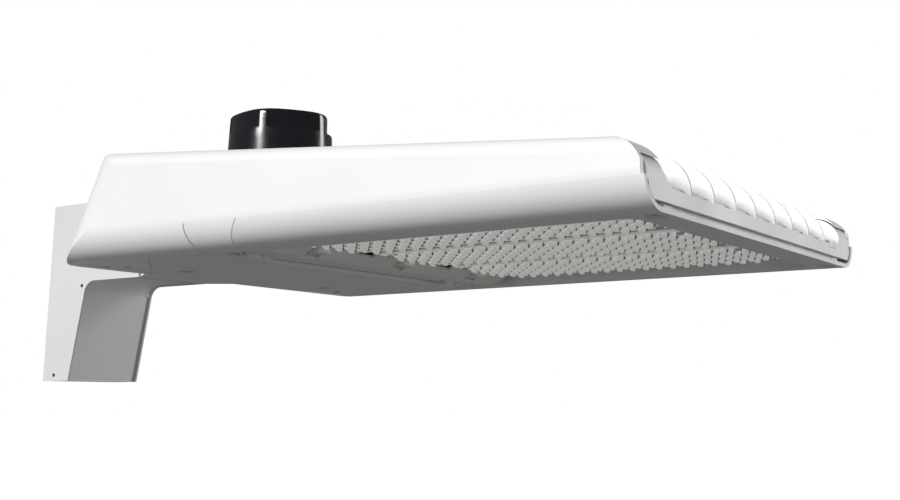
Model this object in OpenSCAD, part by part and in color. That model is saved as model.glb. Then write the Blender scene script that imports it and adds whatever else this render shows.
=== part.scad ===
// Shoebox area light: a flat head on a wall bracket, lenses underneath, light sensor on top.
// X runs out from the wall, Y across the head, Z up. The origin is the middle of the
// wall bolt pattern, on the back face of the wall plate.

/* [Wall bracket] */
// Height of the wall plate and bracket
bracket_h = 157; // [150:1:170]
// Width of the bracket across its side plates
bracket_w = 80; // [76:1:90]
// Reach of the bracket from the wall to the neck gasket
bracket_reach = 116; // [108:1:120]
// Depth of the side plates at their lower end
bracket_foot = 33; // [26:1:40]
// Thickness of the folded bracket sheet
sheet_t = 2; // [1.5:0.25:3]
// Thickness of the wall plate
wall_plate_t = 4; // [3:0.5:6]
// Thickness of the plate that the neck bolts to
arm_plate_t = 5; // [4:0.5:8]
// Bend radius between the bracket's slope and the arm
bend_r = 12; // [8:1:16]
// Horizontal spacing of the wall bolts
wall_bolt_dy = 50; // [40:1:54]
// Vertical spacing of the wall bolts
wall_bolt_dz = 110; // [90:1:120]
// Diameter of a wall bolt hole
wall_bolt_d = 9; // [7:0.5:11]
// Diameter of the supply wire hole in the wall plate
wire_hole_d = 26; // [20:1:32]

/* [Head] */
// Height of the head's underside above the middle of the wall bolts
underside_z = 2.5; // [0:0.5:8]
// Distance from the wall to the back edge of the head
head_back_x = 179; // [177:1:184]
// Length of the head
head_len = 480; // [470:1:490]
// Width of the head
head_w = 380; // [376:1:390]
// Height of the top plane above the front lip
front_h = 40; // [38:0.5:44]
// Rise of the top towards the wall, degrees
top_slope = 4.93; // [4:0.1:6]
// Forward lean of the back face, degrees
back_lean = 25; // [24.5:0.5:26]
// Radius from the back face into the top
back_top_r = 42; // [30:1:44]
// Radius from the top into the front
front_top_r = 25; // [22:1:27]
// Radius of the long lower edges
bottom_r = 22; // [20:1:24]
// Radius of the long upper edges
top_edge_r = 10; // [6:1:14]
// Radius of the two back corners in plan
back_corner_r = 36; // [28:1:40]
// Height of the seam between the housing and the lower skins
seam_z = 18; // [17:0.5:20]
// Thickness of the lower skins, the door and the optical frame
skin_t = 3; // [2.5:0.25:3.5]
// Gap between neighbouring lower skins
skin_gap = 0.8; // [0.7:0.1:1.2]
// Wall thickness of the housing
wall_t = 4; // [3.5:0.25:5]
// Length of the driver door along the head
door_len = 140; // [135:1:145]
// Half width of the door's back edge, where its cut corners begin
door_back_half = 82; // [79:1:89]
// Length of the hinge bridge at the underside
bridge_len = 32; // [30:1:36]
// Depth of the channel along the hinge bridge
channel_depth = 3; // [2.5:0.25:3.5]
// Height of the neck's underside above the front lip
neck_z0 = 5.5; // [5:0.5:7]
// Width of the neck where it joins the head
neck_root_w = 166; // [150:2:176]
// Thickness of the neck gasket
neck_gasket_t = 2; // [1:0.5:3]

/* [Heat sink] */
// Width of each side box beside the fins
side_box_w = 29; // [26:0.5:32]
// Number of fins
fin_n = 8; // [6:1:9]
// Pitch of the fins
fin_pitch = 35.2; // [30:0.1:35.4]
// Thickness of a fin
fin_t = 2.2; // [1.6:0.1:3]
// Thickness of the heat sink's base
sink_base_t = 5; // [4:0.5:7]
// Height of the heat sink's underside above the front lip
sink_z = 13; // [12:0.25:14]
// Depth of the front fascia, front to back
fascia_t = 5; // [4:0.5:7]
// Height of the fascia's lower edge above the front lip
fascia_z0 = 6.4; // [6:0.1:8]
// Height of the fascia's upper edge above the front lip
fascia_z1 = 15; // [14:0.5:17]

/* [Optics] */
// Width of the front band of the optical frame
front_band = 22.5; // [20:0.5:26]
// Width of the back band of the optical frame
back_band = 6; // [5:0.5:8]
// Width of the optical frame beside the opening
side_band = 34.75; // [33:0.25:38]
// Corner radius of the optical opening
recess_r = 10; // [6:1:14]
// Number of lens modules
module_n = 3; // [2:1:3]
// Least room between the lens domes and the ends of the opening
lens_border = 17.5; // [16:0.5:20]
// Number of lens domes across a module
dome_ny = 6; // [4:1:6]
// Pitch of the domes along a module
dome_px = 11.6; // [11:0.1:11.9]
// Pitch of the domes across a module
dome_py = 14.2; // [12:0.1:14.4]
// Radius of a lens dome
dome_r = 5; // [4:0.25:5.25]
// How far a dome stands out of its lens plate
dome_h = 3.8; // [2.5:0.1:4]
// Thickness of a lens plate
lens_t = 1.6; // [1.4:0.1:2]
// Thickness of a circuit board
board_t = 1.6; // [1.2:0.1:2]
// Height of the pad under each circuit board
pad_h = 2.6; // [2:0.1:3]

/* [Light sensor] */
// Distance of the sensor from the head's back edge
sensor_back = 88; // [85:1:93]
// Offset of the sensor from the centre line
sensor_y = -34; // [-44:1:-24]
// Diameter of the sensor's rim
sensor_d = 86; // [80:1:88]
// Diameter of the sensor at its top
sensor_top_d = 82; // [76:1:84]
// Height of the sensor cap
sensor_h = 45; // [42:1:54]
// Number of flats on the cap
flat_n = 5; // [4:1:8]
// Twist that locks the sensor, degrees
sensor_twist = 35; // [20:1:40]

/* [Hidden] */
$fn = 96;

// Small clearances that set how the pieces fit
fit = 0.2;          // beside and between fixed pieces
run = 0.05;         // radial gap of a pin that turns
swing = 0.5;        // gap beside a part that swings
over = 1;           // how far a cutter runs past a face
deep = 400;         // a cutter that runs right through

// Stations along the head
front_x = head_back_x + head_len;
door_x = head_back_x + door_len;
bridge_x = door_x + skin_gap;
frame_x = door_x + bridge_len;
recess_x0 = frame_x + back_band;
recess_x1 = front_x - front_band;
recess_len = recess_x1 - recess_x0;
bay_x1 = frame_x - 7;
sink_x0 = frame_x + 2;
fin_x0 = sink_x0 + 13;
lean = tan(back_lean);
slope = tan(top_slope);
function top_z(x) = front_h + (front_x - x) * slope;

// Stations across the head
half_w = head_w / 2;
box_y = half_w - side_box_w;
recess_half_w = half_w - side_band;
module_pitch = 2 * recess_half_w / module_n;
inner_skin = skin_t + 0.6;
lower_wall = inner_skin + wall_t;
rim_z = 2 * skin_t;
rim_t = 2.5;
rim_w = 14;

// The neck and the bracket arm
neck_x = bracket_reach + neck_gasket_t;
neck_z1 = bracket_h / 2 - underside_z - sheet_t / 2;
arm_z0 = neck_z0 + underside_z;
half_h = bracket_h / 2;
slope_x = bracket_foot + (arm_z0 + half_h) * 0.185;
arm_bolt_dy = bracket_w - 32;
arm_bolt_dz = 40;
arm_bolt_r = 4;
arm_mid_z = (arm_z0 + half_h) / 2;
neck_wall = 8;
bushing_r = 12;

// Fasteners
screw_r = 2;
screw_head_r = 3.6;
screw_head_h = 2.2;
small_r = 1.5;
small_head_r = 1.7;

// The slits in the lower skins: half width of their straight middle, then their
// side view up the radius, X ahead of the straight part against height
slit_side = half_w - 26;
door_slit = [[2.3, 0], [0.4, 13], [0.4, 18]];
frame_slit = [[3.8, 0], [17.2, 18]];
wrap_x = head_back_x + slit_side - door_back_half;
channel_half = half_w - 30;
channel_corner = 16;
corner_depth = 1.2;
corner_edge = 4;
neck_end_x = head_back_x + 53;
corner_spots = [[10, slit_side - 26], [21, slit_side - 36]];

// The door hinge
hinge_x = bridge_x + 7;
hinge_z = skin_t;
hinge_pin_r = 1.5;
knuckle_r = 2.9;
knuckle_w = 10;
knuckle_y = slit_side - 39;
lug_w = 6;

// The door latches
latch_x = head_back_x + 41;
latch_y = half_w - 105;
latch_r = 7;
latch_shaft_r = 3;
cam_len = 23;
cam_w = 9;
cam_t = 3;
cam_z = rim_z + rim_t + 0.4;

// The optical stack, from the heat sink down
pad_z = sink_z - pad_h;
board_z = pad_z - board_t;
lens_z = board_z - lens_t;
dome_nx = floor((recess_len - 2 * lens_border) / dome_px);
field_x = dome_nx * dome_px;
field_y = dome_ny * dome_py;
field_mid_x = (recess_x0 + recess_x1) / 2;
module_x0 = field_mid_x - field_x / 2;
rebate_h = 0.8;
rebate_edge = 2;
chip = 3;
plug_len = 12;
plug_w = 14;
plug_z = 3;
cover_z0 = 0.6;
bezel_depth = 19;
bezel_set = 0.6;
rim_corner_r = 12;
frame_rim_t = 2;
frame_rim_z = sink_z - 2;
pocket_x = front_x - 11;
pocket_y = recess_half_w - 2;
pocket_r = 6;
pocket_half = 10;
pocket_h = 6;
pocket_depth = 3.2;

// The light sensor
sensor_x = head_back_x + sensor_back;
boss_z = top_z(sensor_x - sensor_d / 2) + 2;
boss_r = sensor_d / 2 + 3;
boss_h = 14;
recept_gasket_t = 1.5;
recept_r = 33;
base_r = recept_r + 5;
recept_h = 10;
stem_r = 15;
stem_len = 26;
recept_z = boss_z + recept_gasket_t;
cap_z = boss_z + 2;
sensor_base_t = 4;
sensor_base_z = recept_z + recept_h + 0.4;
window_z = sensor_base_z + sensor_base_t + 6;
cap_wall = 2.5;
blade_ring_r = 19;
blade_t = 1.6;
blade_len = 8;
flat_x = 35;
flat_z = sensor_base_z + 20;
flat_turn = -33;
window_half_w = 6;
window_half_h = 3.5;

// Control gear in the driver bay
tray_z = top_z(bay_x1) - wall_t - 12;
tray_t = 1.5;
tray_x0 = sensor_x - 39;
tray_x1 = bay_x1 - 10;
tray_y0 = 20;
tray_y1 = half_w - 24;
post_r = 5;
driver_size = [60, 120, 32];
surge_size = [36, 52, 30];
block_size = [24, 48, 18];

// ---------------------------------------------------------------- outlines

function unit(v) = v / norm(v);
function half_angle(a, b, c) = acos(unit(a - b) * unit(c - b)) / 2;
// Where an arc of radius r at corner b touches the side towards a
function touch(a, b, c, r) = b + unit(a - b) * r / tan(half_angle(a, b, c));
function arc_centre(a, b, c, r) =
    b + unit(unit(a - b) + unit(c - b)) * r / sin(half_angle(a, b, c));

// Convex outline with a radius at each corner, 0 for a sharp one
module rounded(pts, radii) {
    n = len(pts);
    polygon([for (i = [0:n - 1])
        let (a = pts[(i + n - 1) % n], b = pts[i], c = pts[(i + 1) % n], r = radii[i])
        each (r > 0 ? [touch(a, b, c, r), touch(c, b, a, r)] : [b])]);
    for (i = [0:n - 1])
        if (radii[i] > 0)
            translate(arc_centre(pts[(i + n - 1) % n], pts[i], pts[(i + 1) % n], radii[i]))
                circle(r = radii[i]);
}

// Rectangle from x0,y0 to x1,y1 with one radius at every corner
module rounded_rect(x0, y0, x1, y1, r) {
    rounded([[x0, y0], [x1, y0], [x1, y1], [x0, y1]], [r, r, r, r]);
}

// Drawn in X and Z, extruded across the head
module along_y(w) {
    translate([0, w / 2, 0]) rotate([90, 0, 0]) linear_extrude(w) children();
}

// Drawn in Y and Z, extruded along the head
module along_x(x0, x1) {
    translate([x0, 0, 0]) rotate([90, 0, 90]) linear_extrude(x1 - x0) children();
}

module box(x0, x1, y0, y1, z0, z1) {
    translate([x0, y0, z0]) cube([x1 - x0, y1 - y0, z1 - z0]);
}

// Box that is symmetric about the centre line
module mid_box(x0, x1, half, z0, z1) {
    box(x0, x1, -half, half, z0, z1);
}

module rod_x(r, x0, x1) {
    translate([x0, 0, 0]) rotate([0, 90, 0]) cylinder(r = r, h = x1 - x0);
}

module rod_y(r, y0, y1) {
    translate([0, y1, 0]) rotate([90, 0, 0]) cylinder(r = r, h = y1 - y0);
}

module both_sides() {
    children();
    mirror([0, 1, 0]) children();
}

// Everything drawn from the head's underside upwards
module head() {
    translate([0, 0, underside_z]) children();
}

// ---------------------------------------------------------------- head form

// Side view of the head, moved in by d from the back, top and front
module head_profile(d) {
    back = head_back_x + d / cos(back_lean);
    front = front_x - d;
    drop = d / cos(top_slope);
    peak_z = (front_h + (front_x - back) * slope - drop) / (1 + lean * slope);
    rounded([[back - over * lean, -over], [front, -over], [front, top_z(front) - drop],
             [back + peak_z * lean, peak_z]],
            [0, 0, max(front_top_r - d, 1), max(back_top_r - d, 1)]);
}

// The head's form, moved in by d all round
module head_form(d) {
    w = half_w - d;
    intersection() {
        along_y(2 * w) head_profile(d);
        along_x(0, front_x + over)
            rounded([[-w, d], [w, d], [w, deep], [-w, deep]],
                    [bottom_r - d, bottom_r - d, 0, 0]);
        // the back corners lean with the back
        translate([head_back_x, 0, 0]) rotate([0, back_lean, 0]) translate([0, 0, -deep])
            linear_extrude(2 * deep)
                rounded([[d - fit, -w - fit], [2 * head_len, -w - fit],
                         [2 * head_len, w + fit], [d - fit, w + fit]],
                        [back_corner_r - d, 0, 0, back_corner_r - d]);
        translate([front_x, 0, front_h]) rotate([0, top_slope, 0])
            along_x(-2 * head_len, head_len)
                rounded([[-w, -deep], [w, -deep], [w, -d], [-w, -d]],
                        [0, 0, max(top_edge_r - d, 1), max(top_edge_r - d, 1)]);
    }
}

// The lower skin: the head's own surface up to the seam, one wall thick
module lower_skin(x0, x1) {
    difference() {
        intersection() {
            head_form(0);
            mid_box(x0, x1, half_w + over, -over, seam_z);
        }
        head_form(skin_t);
    }
}

// Plan of the door's flat part, moved in by d, with its two cut corners
module door_plan(d) {
    back = door_back_half - d * (sqrt(2) - 1);
    side = slit_side + 5 - d;
    x0 = head_back_x + d;
    polygon([[x0, -back], [x0 + side - back, -side], [door_x - d, -side],
             [door_x - d, side], [x0 + side - back, side], [x0, back]]);
}

// Everything ahead of a slit that starts at x, moved forward by g
module ahead_of(x, slit, g) {
    last = slit[len(slit) - 1];
    x1 = front_x + over;
    z1 = seam_z + over;
    mid_box(x + g, x1, slit_side, -over, z1);
    both_sides()
        translate([0, half_w + over, 0]) rotate([90, 0, 0])
            linear_extrude(half_w + over - slit_side)
                polygon([[x + g, -over], for (p = slit) [x + g + p.x, p.y],
                         [x + g + last.x, z1], [x1, z1], [x1, -over]]);
}

// The two back corners of the lower skin, which belong to the housing
module corner_zone(g) {
    x0 = head_back_x - over;
    x1 = wrap_x - g * sqrt(2);
    last = door_slit[len(door_slit) - 1];
    z1 = seam_z + over;
    side = slit_side + g;
    both_sides() {
        translate([0, 0, -over]) linear_extrude(z1 + over)
            polygon([[x0, slit_side - (x1 - x0)], [x1, slit_side], [x1, side + fit],
                     [x0, side + fit]]);
        translate([0, half_w + over, 0]) rotate([90, 0, 0])
            linear_extrude(half_w + over - side)
                polygon([[door_x + door_slit[0].x, -over], for (q = door_slit) [door_x + q.x, q.y],
                         [door_x + last.x, z1], [x0, z1], [x0, -over]]);
    }
}

// Plan of the neck, from the bracket arm out to the head
module neck_plan(d) {
    root = neck_root_w / 2 - d;
    tip = bracket_w / 2 - d;
    x1 = neck_end_x;
    polygon([[neck_x, -tip], [head_back_x, -root], [x1, -root], [x1, root],
             [head_back_x, root], [neck_x, tip]]);
}

// ---------------------------------------------------------------- wall bracket

module side_outline() {
    foot = [bracket_foot, -half_h];
    bend = [slope_x, arm_z0];
    tip = [bracket_reach, arm_z0];
    t1 = touch(foot, bend, tip, bend_r);
    t2 = touch(tip, bend, foot, bend_r);
    polygon([[0, -half_h], foot, bend, tip, [bracket_reach, half_h], [0, half_h]]);
    centre = arc_centre(foot, bend, tip, bend_r);
    difference() {
        polygon([t1, t2, bend + (bend - centre) / 2]);
        translate(centre) circle(r = bend_r);
    }
}

// Strip of sheet that follows the bracket's slope and arm, d inside their edge
module cover_strip(d, t, x1) {
    c = cos(atan(0.185));
    s = sin(atan(0.185));
    foot = [bracket_foot - d / c, -half_h + sheet_t];
    bend_z = arm_z0 + d;
    bend = [bracket_foot - d / c + (bend_z + half_h) * 0.185, bend_z];
    tip = [x1, bend_z];
    r = bend_r + d;
    a = touch(foot, bend, tip, r);
    b = touch(tip, bend, foot, r);
    centre = arc_centre(foot, bend, tip, r);
    polygon([foot, a, a + t * [-c, s], foot + t * [-c, s]]);
    polygon([b, tip, tip + [0, t], b + [0, t]]);
    difference() {
        intersection() {
            translate(centre) circle(r = r + t);
            polygon([centre, centre + 2 * (a - centre), 2 * bend - centre,
                     centre + 2 * (b - centre)]);
        }
        translate(centre) circle(r = r);
    }
}

module wall_bolt_holes() {
    for (y = [-1, 1], z = [-1, 1])
        translate([0, y * wall_bolt_dy / 2, z * wall_bolt_dz / 2])
            rod_x(wall_bolt_d / 2, -over, wall_plate_t + over);
}

module wall_plate() {
    color("gainsboro")
        difference() {
            mid_box(0, wall_plate_t, bracket_w / 2 - sheet_t, -half_h + sheet_t + fit,
                    half_h - sheet_t);
            wall_bolt_holes();
            rod_x(wire_hole_d / 2, -over, wall_plate_t + over);
        }
}

// Places of the cover's side screws, in X and Z
cover_spots = [[slope_x - 5.5, arm_z0 - 4], [14, -half_h + 5]];

module bracket_shell() {
    color("white")
        difference() {
            along_y(bracket_w) side_outline();
            mid_box(-over, bracket_reach + over, bracket_w / 2 - sheet_t,
                    -half_h - over, half_h - sheet_t);
            for (p = cover_spots)
                translate([p.x, 0, p.y]) rod_y(small_head_r, -deep, deep);
        }
}

module bracket_cover() {
    inner = bracket_w / 2 - sheet_t - fit;
    tab_t = 3;
    color("gainsboro")
        difference() {
            union() {
                along_y(2 * inner) cover_strip(1.5, sheet_t, bracket_reach - 20);
                mid_box(wall_plate_t + fit, bracket_foot - 2, inner, -half_h, -half_h + sheet_t);
                both_sides() {
                    box(wall_plate_t + 3, bracket_foot - 3, inner - tab_t, inner,
                        -half_h + sheet_t, -half_h + 9);
                    box(slope_x - 12, slope_x - 2, inner - tab_t, inner,
                        arm_z0 - 9, arm_z0 + 1);
                }
            }
            for (p = cover_spots)
                translate([p.x, 0, p.y]) rod_y(small_r - 0.3, -deep, deep);
        }
}

module cover_screws() {
    inner = bracket_w / 2 - sheet_t - fit;
    color("dimgray")
        both_sides()
            for (p = cover_spots)
                translate([p.x, 0, p.y]) {
                    rod_y(small_head_r - 0.1, inner, inner + 1.4);
                    rod_y(small_r - 0.3, inner - 3, inner);
                }
}

module arm_bolt_spots() {
    for (y = [-1, 1], z = [-1, 1])
        translate([0, y * arm_bolt_dy / 2, arm_mid_z + z * arm_bolt_dz / 2]) children();
}

module arm_plate() {
    color("gainsboro")
        difference() {
            mid_box(bracket_reach - arm_plate_t, bracket_reach, bracket_w / 2 - sheet_t,
                    arm_z0, half_h - sheet_t);
            arm_bolt_spots() rod_x(arm_bolt_r + 0.5, 0, deep);
            translate([0, 0, arm_mid_z]) rod_x(bushing_r, 0, deep);
        }
}

module arm_bolts() {
    head_x = bracket_reach - arm_plate_t;
    color("silver")
        arm_bolt_spots() {
            translate([head_x - 7, 0, 0]) rotate([0, 90, 0]) cylinder(r = 7.5, h = 5.4, $fn = 6);
            rod_x(8.5, head_x - 1.6, head_x);
            rod_x(arm_bolt_r, head_x - 3, neck_x + neck_wall);
        }
}

module neck_gasket() {
    color("dimgray")
        difference() {
            mid_box(bracket_reach, neck_x, bracket_w / 2 - 1, arm_z0 + 1, half_h - 2);
            arm_bolt_spots() rod_x(arm_bolt_r + 0.5, 0, deep);
            translate([0, 0, arm_mid_z]) rod_x(bushing_r + 1, 0, deep);
        }
}

module wire_bushing() {
    lip_t = 1.5;
    x0 = bracket_reach - arm_plate_t - lip_t;
    color("dimgray")
        translate([0, 0, arm_mid_z])
            difference() {
                union() {
                    rod_x(bushing_r + 3, x0, x0 + lip_t);
                    rod_x(bushing_r - run, x0 + lip_t, neck_x + neck_wall - 1);
                }
                rod_x(bushing_r - 3, 0, deep);
            }
}

// ---------------------------------------------------------------- housing

module housing_blank() {
    intersection() {
        head_form(0);
        mid_box(0, front_x - 2, half_w + over, seam_z, deep);
    }
    intersection() {
        head_form(inner_skin);
        mid_box(0, front_x - fascia_t - 8, half_w, rim_z, seam_z + over);
    }
    intersection() {
        head_form(0);
        mid_box(0, front_x, half_w, 0, seam_z + over);
        corner_zone(skin_gap);
    }
    translate([0, 0, neck_z0]) linear_extrude(neck_z1 - neck_z0) neck_plan(0);
    translate([sensor_x, sensor_y, boss_z - boss_h]) cylinder(r = boss_r, h = boss_h);
}

module driver_bay() {
    intersection() {
        head_form(wall_t);
        mid_box(0, bay_x1, half_w, seam_z + 6, deep);
    }
    intersection() {
        head_form(lower_wall);
        mid_box(0, bay_x1, half_w, rim_z + rim_t, seam_z + 8);
    }
    // the opening that the door covers
    translate([0, 0, skin_t]) linear_extrude(rim_z + rim_t + over - skin_t) door_plan(rim_w + 6);
}

module housing() {
    neck_in = 5;
    color("white")
        head()
            difference() {
                housing_blank();
                driver_bay();
                // wire way through the neck
                translate([0, 0, neck_z0 + neck_in])
                    linear_extrude(neck_z1 - neck_z0 - 2 * neck_in)
                        intersection() {
                            neck_plan(neck_in);
                            translate([neck_x + neck_wall, -half_w])
                                square([neck_end_x - neck_x - neck_wall, head_w]);
                        }
                translate([0, 0, -underside_z]) {
                    arm_bolt_spots() rod_x(arm_bolt_r, 0, neck_x + neck_wall + over);
                    translate([0, 0, arm_mid_z]) rod_x(bushing_r, 0, neck_x + neck_wall + over);
                }
                // bay for the heat sink, open above and below
                mid_box(fin_x0, front_x + over, box_y, -over, deep);
                mid_box(sink_x0, fin_x0 + over, box_y, -over, sink_z + sink_base_t + fit);
                sink_screw_spots() cylinder(r = screw_r, h = sink_z + sink_base_t + 8);
                // recesses of the back corners
                both_sides()
                    translate([0, 0, -over]) linear_extrude(over + corner_depth)
                        polygon([[head_back_x + corner_edge, slit_side],
                                 [head_back_x + corner_edge,
                                  slit_side - (wrap_x - head_back_x - corner_edge)],
                                 [wrap_x, slit_side]]);
                corner_screw_spots() cylinder(r = small_r, h = 8);
                // hollow side boxes
                intersection() {
                    head_form(lower_wall);
                    both_sides() box(sink_x0 + 2, front_x - 30, box_y + wall_t, half_w, 0, deep);
                }
                // seat of the front bezel
                intersection() {
                    translate([wall_t + fit + over, 0, 0]) head_form(wall_t + fit);
                    mid_box(front_x - bezel_depth, front_x + over, half_w, 0, deep);
                }
                // hinge pockets
                both_sides() hinge_pocket();
                bridge_screw_spots() cylinder(r = screw_r, h = 14);
                // hole of the receptacle
                translate([sensor_x, sensor_y, rim_z]) cylinder(r = stem_r + run, h = deep);
                // wire holes to the lamp boards
                for (i = [0:module_n - 1])
                    translate([0, module_y(i), sink_z + sink_base_t + 12])
                        rod_x(5, bay_x1 - over, fin_x0 + over);
                bezel_screw_spots() rod_x(small_r, front_x - 40, front_x);
                tray_post_spots() cylinder(r = screw_r - 0.4, h = tray_z + 8);
            }
    color("white")
        head() {
            tray_posts();
            sensor_pad();
        }
}

// Level seat for the receptacle's nut under the roof
module sensor_pad() {
    translate([sensor_x, sensor_y, boss_z - boss_h])
        difference() {
            cylinder(r = stem_r + 8, h = boss_h - over);
            translate([0, 0, -over]) cylinder(r = stem_r + run, h = boss_h + over);
        }
}

module tray_post_spots() {
    for (x = [tray_x0 + 8, tray_x1 - 8], y = [tray_y0 + 8, tray_y1 - 8])
        translate([x, y, 0]) children();
}

module tray_posts() {
    intersection() {
        head_form(wall_t - over);
        difference() {
            tray_post_spots()
                translate([0, 0, tray_z + tray_t]) cylinder(r = post_r, h = 60);
            tray_post_spots() cylinder(r = screw_r - 0.4, h = tray_z + 8);
        }
    }
}

// ---------------------------------------------------------------- hinge and door

module hinge_pocket() {
    y0 = knuckle_y - knuckle_w / 2 - fit;
    y1 = knuckle_y + knuckle_w / 2 + fit;
    translate([hinge_x, 0, hinge_z]) rod_y(knuckle_r + swing, y0, y1);
    box(door_x - over, hinge_x + knuckle_r + swing, y0, y1, -over, hinge_z);
}

module bridge_screw_spots() {
    for (y = [-1, -0.4, 0.4, 1] * (knuckle_y - 25))
        translate([frame_x - 12, y, 0]) children();
}

// Plan of the channel along the bridge
module channel_plan() {
    x0 = door_x - over;
    x1 = frame_x + over;
    corner_x = door_x + channel_corner / 2;
    polygon([[x0, channel_corner - channel_half], [corner_x, -channel_half],
             [x1, -channel_half], [x1, channel_half], [corner_x, channel_half],
             [x0, channel_half - channel_corner]]);
}

module hinge_bridge() {
    color("gainsboro")
        head()
            difference() {
                union() {
                    difference() {
                        intersection() {
                            lower_skin(0, front_x);
                            ahead_of(door_x, door_slit, skin_gap);
                        }
                        ahead_of(frame_x, frame_slit, -skin_gap);
                        translate([0, 0, -over]) linear_extrude(deep) channel_plan();
                    }
                    // floor of the channel
                    mid_box(bridge_x, frame_x - skin_gap, slit_side, channel_depth, rim_z);
                    // the lugs that hold the pins
                    both_sides()
                        for (y = [knuckle_y - knuckle_w / 2 - fit - lug_w,
                                  knuckle_y + knuckle_w / 2 + fit])
                            box(hinge_x - 4, hinge_x + 4, y, y + lug_w, 0.4, rim_z);
                }
                both_sides() {
                    hinge_pocket();
                    translate([hinge_x, 0, hinge_z]) rod_y(hinge_pin_r, knuckle_y - 20, knuckle_y + 20);
                }
                bridge_screw_spots() {
                    translate([0, 0, -over]) cylinder(r = screw_r, h = 20);
                    cylinder(r = screw_head_r + fit, h = channel_depth + 0.8);
                }
            }
}

module bridge_screws() {
    color("silver")
        head()
            bridge_screw_spots() {
                translate([0, 0, channel_depth + 0.8 - screw_head_h + 0.6])
                    cylinder(r = screw_head_r, h = screw_head_h - 0.6);
                translate([0, 0, channel_depth + 0.8]) cylinder(r = screw_r, h = 8);
            }
}

module hinge_pins() {
    reach = knuckle_w / 2 + fit + lug_w;
    color("silver")
        head()
            both_sides()
                translate([hinge_x, 0, hinge_z])
                    rod_y(hinge_pin_r, knuckle_y - reach, knuckle_y + reach);
}

module driver_door() {
    color("gainsboro")
        head()
            difference() {
                union() {
                    difference() {
                        lower_skin(0, front_x);
                        ahead_of(door_x, door_slit, 0);
                        corner_zone(0);
                        mid_box(0, wrap_x, slit_side, skin_t, deep);
                    }
                    // hinge knuckles and the arms that carry them
                    both_sides() {
                        y0 = knuckle_y - knuckle_w / 2;
                        translate([hinge_x, 0, hinge_z]) rod_y(knuckle_r, y0, y0 + knuckle_w);
                        box(door_x - 4, hinge_x, y0, y0 + knuckle_w, 0.4, skin_t);
                    }
                }
                both_sides() {
                    translate([hinge_x, 0, hinge_z]) rod_y(hinge_pin_r + run, 0, half_w);
                    translate([latch_x, latch_y, -over]) {
                        cylinder(r = latch_r + swing, h = over + 1.5);
                        cylinder(r = latch_shaft_r + run, h = 20);
                    }
                }
            }
}

module gasket_ring(x0, x1, half, w, z0, z1, r) {
    translate([0, 0, z0]) linear_extrude(z1 - z0)
        difference() {
            rounded_rect(x0, -half, x1, half, r);
            rounded_rect(x0 + w, -half + w, x1 - w, half - w, max(r - w, 1));
        }
}

module door_gasket() {
    color("dimgray")
        head()
            translate([0, 0, skin_t]) linear_extrude(min(rim_z, neck_z0) - skin_t)
                difference() {
                    door_plan(8);
                    door_plan(rim_w);
                }
}

module corner_screw_spots() {
    both_sides()
        for (q = corner_spots)
            translate([head_back_x + q.x, q.y, 0]) children();
}

module corner_screws() {
    color("silver")
        head()
            corner_screw_spots() {
                translate([0, 0, corner_depth - 0.8]) cylinder(r = small_r + 1.1, h = 0.8);
                translate([0, 0, corner_depth]) cylinder(r = small_r, h = 6);
            }
}

// Quarter-turn latch: a slotted head, a shaft and a cam that turns over the housing rim
module door_latch() {
    difference() {
        union() {
            translate([0, 0, 0.1]) cylinder(r = latch_r, h = 1.3);
            translate([0, 0, 1.4]) cylinder(r = latch_shaft_r, h = cam_z + cam_t - 1.4);
            box(-cam_w / 2, cam_w / 2, -cam_len, cam_w / 2, cam_z, cam_z + cam_t);
        }
        box(-5, 5, -0.8, 0.8, -over, 0.9);
    }
}

module door_latch_near() {
    color("silver") head() translate([latch_x, -latch_y, 0]) mirror([0, 1, 0]) door_latch();
}

module door_latch_far() {
    color("silver") head() translate([latch_x, latch_y, 0]) door_latch();
}

// ---------------------------------------------------------------- heat sink and bezel

function fin_y(i) = (i - (fin_n - 1) / 2) * fin_pitch;
function module_y(i) = (i - (module_n - 1) / 2) * module_pitch;

module sink_screw_spots() {
    for (y = [module_pitch / 2, recess_half_w - 9])
        both_sides() translate([sink_x0 + 9.5, y, 0]) children();
}

module heat_sink() {
    half = box_y - fit;
    color("white")
        head()
            difference() {
                union() {
                    mid_box(sink_x0 + fit, front_x - fascia_t - fit, half, sink_z,
                            sink_z + sink_base_t);
                    intersection() {
                        head_form(1.2);
                        for (i = [0:fin_n - 1])
                            box(fin_x0 + fit, front_x, fin_y(i) - fin_t / 2,
                                fin_y(i) + fin_t / 2, sink_z + 2, deep);
                    }
                    frame_screw_spots() translate([0, 0, pocket_h + fit])
                        cylinder(r = 5, h = sink_z - pocket_h);
                    for (i = [0:module_n - 1])
                        box(module_x0 - 1, module_x0 + field_x + 1,
                            module_y(i) - field_y / 2, module_y(i) + field_y / 2,
                            pad_z, sink_z + over);
                }
                // the fascia stands in front of the fins
                along_x(front_x - fascia_t - fit, front_x + over)
                    difference() {
                        translate([-half_w, 0]) square([head_w, deep]);
                        rounded([[fit - box_y, fascia_z1 + fit], [box_y - fit, fascia_z1 + fit],
                                 [box_y - fit, deep], [fit - box_y, deep]],
                                [rim_corner_r, rim_corner_r, 0, 0]);
                    }
                sink_screw_spots() cylinder(r = screw_r, h = 40);
                frame_screw_spots() cylinder(r = screw_r, h = sink_z + 2);
                plug_spots() cylinder(r = 3, h = 40);
            }
}

module sink_screws() {
    color("silver")
        head()
            sink_screw_spots() {
                translate([0, 0, sink_z - 1.8]) cylinder(r = screw_head_r, h = 1.8);
                translate([0, 0, sink_z]) cylinder(r = screw_r, h = sink_base_t);
            }
}

module bezel_screw_spots() {
    both_sides()
        translate([0, box_y + side_box_w / 2 - 2, seam_z + 3]) children();
}

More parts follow.
